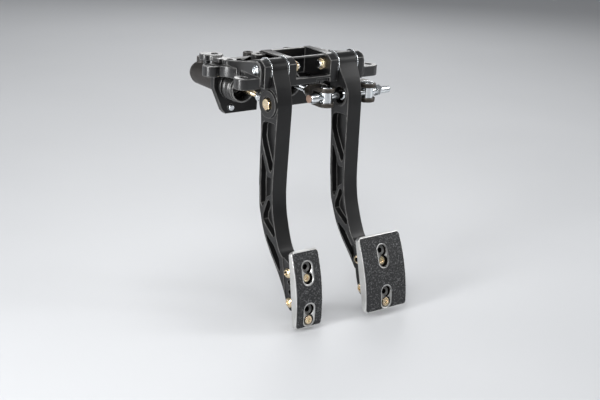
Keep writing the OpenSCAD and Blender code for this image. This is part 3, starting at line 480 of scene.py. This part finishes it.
# %% Boot rubber
material, tree, shader, where = open_finish("boot_rubber", 0.0, 0.6)
grain = using(tree, fine_grain, where, Grain_Scale=900.0, Blotch_Scale=90.0)
rubber = toned(tree, grain["Blotch"], (0.014, 0.014, 0.014), (0.026, 0.026, 0.026))
lip_lit = using(tree, painted_edge_highlight, where, Amount=1.0)
# The grey on the boot's lip and thin rib is a painted highlight.
tree.links.new(toned(tree, lip_lit["Mask"], rubber, (0.20, 0.20, 0.195)), shader["Base Color"])
tree.links.new(using(tree, smudges, where, Low=0.20, High=0.30)["Rough"], shader["Roughness"])
embossed(tree, shader, grain["Height"], 0.08, 0.0003)
finishes["boot_rubber"] = material
print("finish", material.name)

# %% Grip sheet
material, tree, shader, where = open_finish("grip_sheet", 0.0, 0.45)
stone = using(tree, grit, where, Grain_Scale=620.0)
tree.links.new(toned(tree, stone["Fleck"], (0.012, 0.0125, 0.0135), (0.15, 0.152, 0.156)), shader["Base Color"])
tree.links.new(using(tree, smudges, where, Low=0.50, High=0.66)["Rough"], shader["Roughness"])
embossed(tree, shader, stone["Height"], 0.55, 0.0007)
finishes["grip_sheet"] = material
print("finish", material.name)

# %% [markdown]
# The floor is a roll of pale paper. A pure white one would burn out under the lamps and leave no
# shadow to ground the pedals, so it is a light grey with a faint cool cast.

# %% Studio paper
material, tree, shader, where = open_finish("studio_paper", 0.0, 0.3)
paper = using(tree, fine_grain, where, Grain_Scale=300.0, Blotch_Scale=2.0)
tree.links.new(toned(tree, paper["Blotch"], (0.56, 0.57, 0.585), (0.585, 0.595, 0.61)), shader["Base Color"])
shader["Roughness"].default_value = 0.5
floor.data.materials.append(material)
print("finish", material.name)

# %% [markdown]
# ## Soft edges on the machined pieces
# No machined piece has a knife edge: a deburring tool leaves a small rounded corner that catches the
# light. A solid straight from construction has none. A copy of each solid is merged, its flat faces
# are dissolved into whole ones, and a Bevel modifier rounds its corners by a few tenths of a
# millimetre. Where narrow faces meet, a rounded corner could poke out, so every point is kept inside
# the box of its solid. Smooth shading would then bend the light on large flat faces towards their
# corners, so a Weighted Normal modifier lets the large faces decide. The solid itself stays as it is
# and is hidden.

# %% Helpers for pieces that stand for a node
slot_of = {part["node"]: part["material_slot"] for part in frame["record"]["subparts"]}
bodies = frame["record"]["behaviour"]["bodies"]
body_of = {node: body for body, nodes in bodies.items() for node in nodes}
flat_within, corner_from, crease_from = math.radians(0.6), math.radians(32), math.radians(40)


def stands_for(piece, *nodes):
    """Gives a finished piece its finish, its body and the nodes it replaces."""
    piece.data.materials.clear()
    piece.data.materials.append(finishes[slot_of[nodes[0]]])
    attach(piece, body_of[nodes[0]])
    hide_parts(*nodes)
    return piece


def copy_of(node, name):
    """A linked copy of a node's solid, with a mesh of its own."""
    piece = bpy.data.objects.new(name, frame["nodes"][node].data.copy())
    bpy.context.scene.collection.objects.link(piece)
    return piece


def merged(piece):
    """Joins points that lie on each other and leaves the piece in edit mode."""
    edit_all(piece)
    bpy.ops.mesh.remove_doubles(threshold=1e-6)


def combined(piece, other, how):
    """One Boolean of two pieces; the second is used up."""
    applied(piece, "BOOLEAN", object=other, operation=how, solver="EXACT")
    bpy.data.objects.remove(other)
    return piece


def boxes_of(node):
    """The corners of each separate solid in a node."""
    merged(copy_of(node, "counted"))
    bpy.ops.mesh.separate(type="LOOSE")
    bpy.ops.object.mode_set(mode="OBJECT")
    boxes = []
    for part in list(bpy.context.selected_objects):
        places = [v.co for v in part.data.vertices]
        boxes.append((Vector([min(p[k] for p in places) for k in range(3)]),
                      Vector([max(p[k] for p in places) for k in range(3)])))
        bpy.data.objects.remove(part)
    return boxes


def softened(node, width, steps=2, edge_light=0.5, sharp=None, polish=0.0, first=None):
    """A copy of a node with rounded corners, width in millimetres.

    sharp says which edges to leave as they are, and first adds forms before the corners are rounded.
    """
    piece = copy_of(node, node + "_shown")
    if first:
        first(piece)
    solid = [v.co.copy() for v in piece.data.vertices]
    merged(piece)
    if sharp is None:
        bpy.ops.mesh.dissolve_limited(angle_limit=flat_within)
    bpy.ops.mesh.select_mode(type="EDGE")
    bpy.ops.mesh.select_all(action="DESELECT")
    bpy.ops.mesh.edges_select_sharp(sharpness=corner_from)
    bpy.ops.object.mode_set(mode="OBJECT")
    weight = piece.data.attributes.new("bevel_weight_edge", "FLOAT", "EDGE")
    places = piece.data.vertices
    for edge in piece.data.edges:
        middle = sum((places[i].co for i in edge.vertices), Vector()) / 2
        weight.data[edge.index].value = float(edge.select and not (sharp and sharp(middle)))
    piece.data.materials.clear()
    for place in range(2):
        piece.data.materials.append(finishes[slot_of[node]])
    applied(piece, "BEVEL", width=width * MM, segments=steps, limit_method="WEIGHT", material=1,
            use_clamp_overlap=False, miter_outer="MITER_ARC")
    low, high = ([pick(p[k] for p in solid) for k in range(3)] for pick in (min, max))
    for vertex in piece.data.vertices:
        vertex.co = [min(max(vertex.co[k], low[k]), high[k]) for k in range(3)]
    # The bevel faces carry a value for the painted edge highlight.
    marks = piece.data.attributes.new("edge_highlight", "FLOAT", "FACE")
    for face in piece.data.polygons:
        marks.data[face.index].value = edge_light * face.material_index
        face.material_index = 0
    sheen = piece.data.attributes.new("polish", "FLOAT", "FACE")
    sheen.data.foreach_set("value", [polish] * len(piece.data.polygons))
    only(piece)
    bpy.ops.object.shade_smooth_by_angle(angle=crease_from)
    applied(piece, "WEIGHTED_NORMAL", mode="FACE_AREA", weight=100, keep_sharp=True)
    return stands_for(piece, node)


# %% [markdown]
# The lower pad bracket screw sits at the very end of the arm, where the solid's hole breaks out. On a
# real arm the end is a round eye around the screw. The eye could be a piece of its own, but a seam
# would show, so it is joined to the arm's copy before the corners are rounded.

# %% A round eye at the end of an arm
eye_r, hole_r, drill_long = 8.0 * MM, 3.31 * MM, 50 * MM


def end_eye(piece):
    """Joins a round eye to an arm's end and drills it for the lower bracket screw."""
    screws = piece.name.replace("arm_shown", "bracket_screws")
    low, high = min(boxes_of(screws), key=lambda box: box[0].z)
    at = (low + high) / 2
    xs = [v.co.x for v in piece.data.vertices if (v.co - at).yz.length < 4 * MM]
    at.x = (min(xs) + max(xs)) / 2
    for radius, wide, how in ((eye_r, max(xs) - min(xs), "UNION"), (hole_r, drill_long, "DIFFERENCE")):
        bpy.ops.mesh.primitive_cylinder_add(vertices=64, radius=radius, depth=wide, location=at,
                                            rotation=(0, math.pi / 2, 0))
        tool = bpy.context.object
        bpy.ops.object.transform_apply(location=True, rotation=True, scale=True)
        combined(piece, tool, how)
    print(piece.name, "eye at", [round(c / MM, 1) for c in at])


# %% Frame, brackets, plate and arms
# The third number sets the painted edge highlight, the fourth the glossy coat.
for node, width, edge_light, polish in (
        ("main_frame", 0.7, 0.45, 0.5), ("left_bracket", 0.9, 0.3, 1.0), ("right_bracket", 0.9, 0.3, 1.0),
        ("cylinder_plate", 0.8, 0.3, 0.0), ("clutch_arm", 0.8, 0.25, 0.0), ("brake_arm", 0.8, 0.25, 0.0),
        ("clutch_pad_bracket", 0.5, 0.3, 0.0), ("brake_pad_bracket", 0.5, 0.3, 0.0)):
    added = end_eye if node.endswith("_arm") else None
    piece = softened(node, width, edge_light=edge_light, polish=polish, first=added)
    print(piece.name, "faces", len(piece.data.polygons))

# %% Cylinders, clevises and linkage
for node, width in (("clutch_cylinder", 0.8), ("left_brake_cylinder", 0.8), ("right_brake_cylinder", 0.8),
                    ("left_clevis", 0.7), ("right_clevis", 0.7),
                    ("left_trunnion", 0.5), ("right_trunnion", 0.5), ("clutch_rod_end", 0.6),
                    ("thrust_washers", 0.2), ("bar_end_disc", 0.3)):
    piece = softened(node, width)
    print(piece.name, "faces", len(piece.data.polygons))

# %% [markdown]
# Each pad is a bowed plate with two shallow slots, and each slot has two deep screw pits. Its outline is
# rounded by the maker, but the slots are cut last and stay sharp, so their edges get no bevel weight. The pits
# are darkened with painted shade. A face lies in a pit when it is inside a slot's outline and deeper than the
# shallow slot. Walls get the full painted shade, and floors, which face out of the pit, get less.

# %% Pads with sharp slots
pit_half, slot_floor, head_depth = 6.5 * MM, 1.0 * MM, 4.2 * MM
pad_bow, slot_half, slot_reach, slot_zs = 187 * MM, 8 * MM, 14.5 * MM, (20 * MM, -31 * MM)
floor_shade, wall_shade, clear_of_floor = 0.6, 1.0, 0.3 * MM
for pad, tilt in (("clutch", math.radians(10.0)), ("brake", math.radians(12.6))):
    into = Vector((0, math.cos(tilt), -math.sin(tilt)))
    along = Vector((0, math.sin(tilt), math.cos(tilt)))
    solid = frame["nodes"][pad + "_pad_screws"].data.vertices
    zero = min(v.co.dot(into) for v in solid) - head_depth
    lower, upper = sorted(boxes_of(pad + "_pad_screws"), key=lambda box: box[0].z)
    lines_at = [(low + high) / 2 + along * pit_half for low, high in (upper, lower)]

    def in_slot(spot, line):
        return abs(spot.x - line.x) < slot_half and abs((spot - line).dot(along)) < slot_reach

    piece = softened(pad + "_pad", 0.7, edge_light=0.0,
                     sharp=lambda spot: any(in_slot(spot, line) for line in lines_at))
    # Pit faces get painted shade: full on the walls, less on the floors that face out.
    pit_shade_mask = piece.data.attributes.new("painted_pit_shade", "FLOAT", "FACE")
    for line, slot_z in zip(lines_at, slot_zs):
        flat = math.sqrt(pad_bow ** 2 - slot_z ** 2)
        for face in piece.data.polygons:
            floor_here = pad_bow - flat + slot_floor + (face.center - line).dot(along) * slot_z / flat
            depth = face.center.dot(into) - zero
            if in_slot(face.center, line) and depth > floor_here + clear_of_floor:
                faces_out = abs(face.normal.dot(into)) > 0.9
                pit_shade_mask.data[face.index].value = floor_shade if faces_out else wall_shade
    print(piece.name, "shaded faces", sum(d.value > 0 for d in pit_shade_mask.data))

# %% [markdown]
# ## Screws and nuts
# Button heads are domed, and the corners of a hexagon are turned down to a cone, so that a spanner
# slides on. Domes could be spheres cut in half. Here the stepped heads of the solids are rounded
# with a wide bevel, which keeps their key sockets. The hexagons are cut to the shape that a lathe
# would leave: each copy is intersected with a turned solid that has a cone at its ends.

# %% Domed heads and bolt tips
for node, width in (("pivot_bolts", 0.55), ("clutch_bracket_screws", 0.8), ("brake_bracket_screws", 0.8),
                    ("clutch_pad_screws", 0.6), ("brake_pad_screws", 0.6), ("flange_bolts", 0.5),
                    ("plate_screws", 0.5), ("flange_washers", 0.3)):
    piece = softened(node, width, steps=3)
    print(piece.name, "faces", len(piece.data.polygons))

# %% A turned solid along +Z
def turned(name, profile, sides=48):
    """A closed solid from (radius, height) pairs in millimetres, drawn up one ring at a time."""
    radius, height = profile[0]
    bpy.ops.object.select_all(action="DESELECT")
    bpy.ops.mesh.primitive_circle_add(vertices=sides, radius=radius * MM, fill_type="NGON",
                                      location=(0, 0, height * MM))
    piece = bpy.context.object
    piece.name = name
    bpy.ops.object.transform_apply(location=True, rotation=True, scale=True)
    edit_all(piece)
    for wide, high in profile[1:]:
        bpy.ops.mesh.extrude_region_move(TRANSFORM_OT_translate={"value": (0, 0, (high - height) * MM)})
        if wide != radius:
            bpy.ops.transform.resize(value=(wide / radius, wide / radius, 1), center_override=(0, 0, high * MM))
        radius, height = wide, high
    bpy.ops.mesh.select_all(action="SELECT")
    bpy.ops.mesh.normals_make_consistent(inside=False)
    bpy.ops.object.mode_set(mode="OBJECT")
    return piece


def laid(piece, at, axis):
    """Turns +Z of a piece to an axis, moves it and writes the place into its mesh."""
    turn = Vector((0, 0, 1)).rotation_difference(Vector(axis)).to_matrix().to_4x4()
    piece.matrix_world = Matrix.Translation(at) @ turn
    only(piece)
    bpy.ops.object.transform_apply(location=True, rotation=True, scale=True)
    return piece


# %% Chamfered hexagons
def chamfered(node, axis, flats, cone_start, cone_end, bevel=0.15):
    """A copy of hexagon nuts or heads whose corners are turned to a cone at the ends asked for."""
    k = [abs(v) for v in axis].index(1)
    piece = copy_of(node, node + "_shown")
    merged(piece)
    bpy.ops.mesh.dissolve_limited(angle_limit=flat_within)
    bpy.ops.object.mode_set(mode="OBJECT")
    corner, face = flats / math.sqrt(3) + 0.05, flats / 2 * 0.94
    rise = (corner - face) * 0.6
    lathe = None
    for low, high in boxes_of(node):
        long = (high[k] - low[k]) / MM
        profile = [(face if cone_start else corner, 0.0)]
        if cone_start:
            profile.append((corner, rise))
        if cone_end:
            profile.append((corner, long - rise))
        profile.append((face if cone_end else corner, long))
        start = (low + high) / 2
        start[k] = low[k]
        tool = laid(turned("lathe", profile), start, axis)
        if lathe is None:
            lathe = tool
        else:
            only(lathe)
            tool.select_set(True)
            bpy.ops.object.join()
    combined(piece, lathe, "INTERSECT")
    applied(piece, "BEVEL", width=bevel * MM, segments=2, limit_method="ANGLE",
            angle_limit=math.radians(25), use_clamp_overlap=True)
    only(piece)
    bpy.ops.object.shade_smooth_by_angle(angle=math.radians(30))
    return stands_for(piece, node)


for node, axis, flats, start, end in (
        ("clutch_link_bolt", (1, 0, 0), 12.7, True, False), ("clutch_link_nut", (1, 0, 0), 12.7, False, True),
        ("bar_end_nut", (1, 0, 0), 12.7, True, True), ("clutch_bracket_nuts", (1, 0, 0), 11.1, False, True),
        ("brake_bracket_nuts", (1, 0, 0), 11.1, False, True), ("clutch_lock_nut", (0, 1, 0), 11.1, True, True),
        ("left_lock_nut", (0, 1, 0), 11.1, True, True), ("right_lock_nut", (0, 1, 0), 11.1, True, True)):
    piece = chamfered(node, axis, flats, start, end)
    print(piece.name, "faces", len(piece.data.polygons))
piece = softened("pivot_nuts", 0.5, steps=3)
print(piece.name, "faces", len(piece.data.polygons))

# %% [markdown]
# ## Threaded rods
# The balance bar and the pushrods carry fine threads where nuts run on them. A true thread is one
# long spiral groove and could be made with a Screw modifier. At this pitch its slope is under three
# degrees, so a row of turned rings looks the same and stays one closed solid.

# %% Rods with rings for their threads
def threaded(start, end, crest, root, pitch=1.25):
    """Profile points of a row of V grooves."""
    points, height = [], start
    while height + pitch <= end:
        points += [(crest, height), (crest, height + pitch * 0.2), (root, height + pitch * 0.6)]
        height += pitch
    return points + [(crest, height)]


def rod_between(node, axis):
    """The low end of a rod and its length in millimetres, read from its solid."""
    k = axis.index(1)
    (low, high), = boxes_of(node)
    start = (low + high) / 2
    start[k] = low[k]
    return start, (high[k] - low[k]) / MM


bar_r, tip_r, rod_r = 4.76, 4.46, 3.3
start, long = rod_between("balance_bar", (1, 0, 0))
ball, half = 56.0, 7.3
collar_r, groove = 6.16, 5.3
bar = [(5.0, 0.0), (6.0, 0.8), (6.0, 10.5), (5.2, 12.0), (bar_r, 12.4), (bar_r, ball - half),
       (collar_r, ball - half), (collar_r, ball - groove), (bar_r, ball - groove), (bar_r, ball + groove),
       (collar_r, ball + groove), (collar_r, ball + half), (bar_r, ball + half)]
bar += threaded(ball + 42, ball + 51, bar_r, 4.3)
bar += threaded(ball + 51.4, long - 0.8, tip_r, 4.05) + [(3.9, long)]
piece = stands_for(laid(turned("balance_bar_shown", bar), start, (1, 0, 0)), "balance_bar")
bpy.ops.object.shade_smooth_by_angle(angle=math.radians(28))
print(piece.name, "faces", len(piece.data.polygons))
for node in ("clutch_pushrod", "left_pushrod", "right_pushrod"):
    start, long = rod_between(node, (0, 1, 0))
    rod = [(rod_r - 0.4, 0.0), (rod_r, 0.4)] + threaded(1.0, 34.0, rod_r, rod_r - 0.4)
    rod += [(rod_r, long - rod_r)]
    rod += [(rod_r * math.cos(a), long - rod_r + rod_r * math.sin(a)) for a in (0.3, 0.6, 0.9, 1.2, 1.45)]
    piece = stands_for(laid(turned(node + "_shown", rod, 32), start, (0, 1, 0)), node)
    bpy.ops.object.shade_smooth_by_angle(angle=math.radians(28))
    print(piece.name, "faces", len(piece.data.polygons))

# %% [markdown]
# ## Dust boots
# Each boot is a rubber bellows around its pushrod, open towards the driver. Its ribs are round, not square as
# in the solid. A torus for every rib would leave seams, so one outline with round ribs is drawn ring by ring:
# up the outside, back down inside, and closed on itself. From its mouth it has a lip, a thin rib and two wide
# swellings. The lip and the thin rib carry a painted highlight, a grey that stands in for the light on them.

# %% Round bellows
def bellows(name, outline, sides=56):
    """A closed tube from (radius, height) pairs that run round its section."""
    radius, height = outline[0]
    bpy.ops.object.select_all(action="DESELECT")
    bpy.ops.mesh.primitive_circle_add(vertices=sides, radius=radius * MM, fill_type="NOTHING",
                                      location=(0, 0, height * MM))
    piece = bpy.context.object
    piece.name = name
    bpy.ops.object.transform_apply(location=True, rotation=True, scale=True)
    only(piece)
    bpy.ops.object.mode_set(mode="EDIT")
    bpy.ops.mesh.select_mode(type="EDGE")
    bpy.ops.mesh.select_all(action="SELECT")
    for wide, high in outline[1:] + outline[:1]:
        bpy.ops.mesh.extrude_region_move(TRANSFORM_OT_translate={"value": (0, 0, (high - height) * MM)})
        bpy.ops.transform.resize(value=(wide / radius, wide / radius, 1), center_override=(0, 0, high * MM))
        radius, height = wide, high
    bpy.ops.mesh.select_all(action="SELECT")
    bpy.ops.mesh.remove_doubles(threshold=1e-6)
    bpy.ops.mesh.normals_make_consistent(inside=False)
    bpy.ops.object.mode_set(mode="OBJECT")
    bpy.ops.object.shade_smooth_by_angle(angle=math.radians(50))
    return piece


def swelling(low, high, valley, swell):
    """Half a wave from one height to another."""
    return [(valley + swell * math.sin(a), low + (high - low) * a / math.pi)
            for a in (0, 0.3, 0.6, 0.95, 1.3, 1.57, 1.84, 2.19, 2.54, 2.84)]


outside = [(14.5, 0.5), (14.8, 0.0), (16.0, 0.0), (16.5, 0.5), (16.5, 1.2), (16.0, 1.7)]
outside += [(15.0, 2.1), (15.0, 3.2)]
outside += [(16.5, 3.7), (17.0, 4.2), (17.0, 4.8), (16.5, 5.3), (15.0, 5.8), (15.0, 7.0)]
outside += swelling(7.4, 15.6, 15.2, 2.5) + swelling(15.9, 23.7, 15.4, 2.5)
outside += [(15.5, 24.0), (18.2, 24.0), (18.6, 24.5), (18.6, 27.6), (18.2, 28.0)]
inside = [(14.5, 28.0), (14.5, 15.5), (14.1, 15.5), (14.1, 0.8)]
for node in ("clutch_boot", "left_brake_boot", "right_brake_boot"):
    (low, high), = boxes_of(node)
    start = (low + high) / 2
    start.y = low.y
    piece = bellows(node + "_shown", outside + inside)
    # The lip and the thin rib carry a value for a painted highlight.
    marks = piece.data.attributes.new("edge_highlight", "FLOAT", "FACE")
    for face in piece.data.polygons:
        wide, high = face.center.xy.length / MM, face.center.z / MM
        lip, thin = high < 1.8 and wide > 14.6, 3.6 < high < 5.4 and wide > 16.0
        marks.data[face.index].value = 0.8 * lip + 0.5 * thin
    stands_for(laid(piece, start, (0, 1, 0)), node)
    print(piece.name, "faces", len(piece.data.polygons))

# %% [markdown]
# ## Grip sheets
# The pads are faced with coarse grit that is bonded to a thin sheet. A bump alone would leave the
# sheet's edges smooth. The copy of each sheet is therefore cut into small cells by a Remesh modifier,
# and a Displace modifier presses them down by a clouded height, so the grains stand up to the solid's
# own face and never above it.

# %% Grains that stand up from the sheet
clouds = bpy.data.textures.new("grain_clouds", "CLOUDS")
clouds.noise_scale, clouds.noise_depth, clouds.noise_type = 0.0010, 1, "HARD_NOISE"
for node in ("clutch_grip", "brake_grip"):
    piece = copy_of(node, node + "_shown")
    merged(piece)
    bpy.ops.object.mode_set(mode="OBJECT")
    applied(piece, "REMESH", mode="VOXEL", voxel_size=0.4 * MM)
    applied(piece, "DISPLACE", texture=clouds, strength=0.55 * MM, mid_level=0.95, texture_coords="LOCAL")
    only(piece)
    bpy.ops.object.shade_smooth()
    stands_for(piece, node)
    print(piece.name, "faces", len(piece.data.polygons))

# %% [markdown]
# ## The rest
# Bushes, pistons, dowels and the like are plain turned pieces that are hidden or hardly seen. They
# could be copied and rounded too, but that would show nothing new, so the solids themselves are shown
# with a finish.

# %% Finishes for the solids that stay as they are
for node, solid in frame["nodes"].items():
    if not solid.hide_render:
        solid.data.materials.clear()
        solid.data.materials.append(finishes[slot_of[node]])
print("plain solids", sorted(n for n, o in frame["nodes"].items() if not o.hide_render))
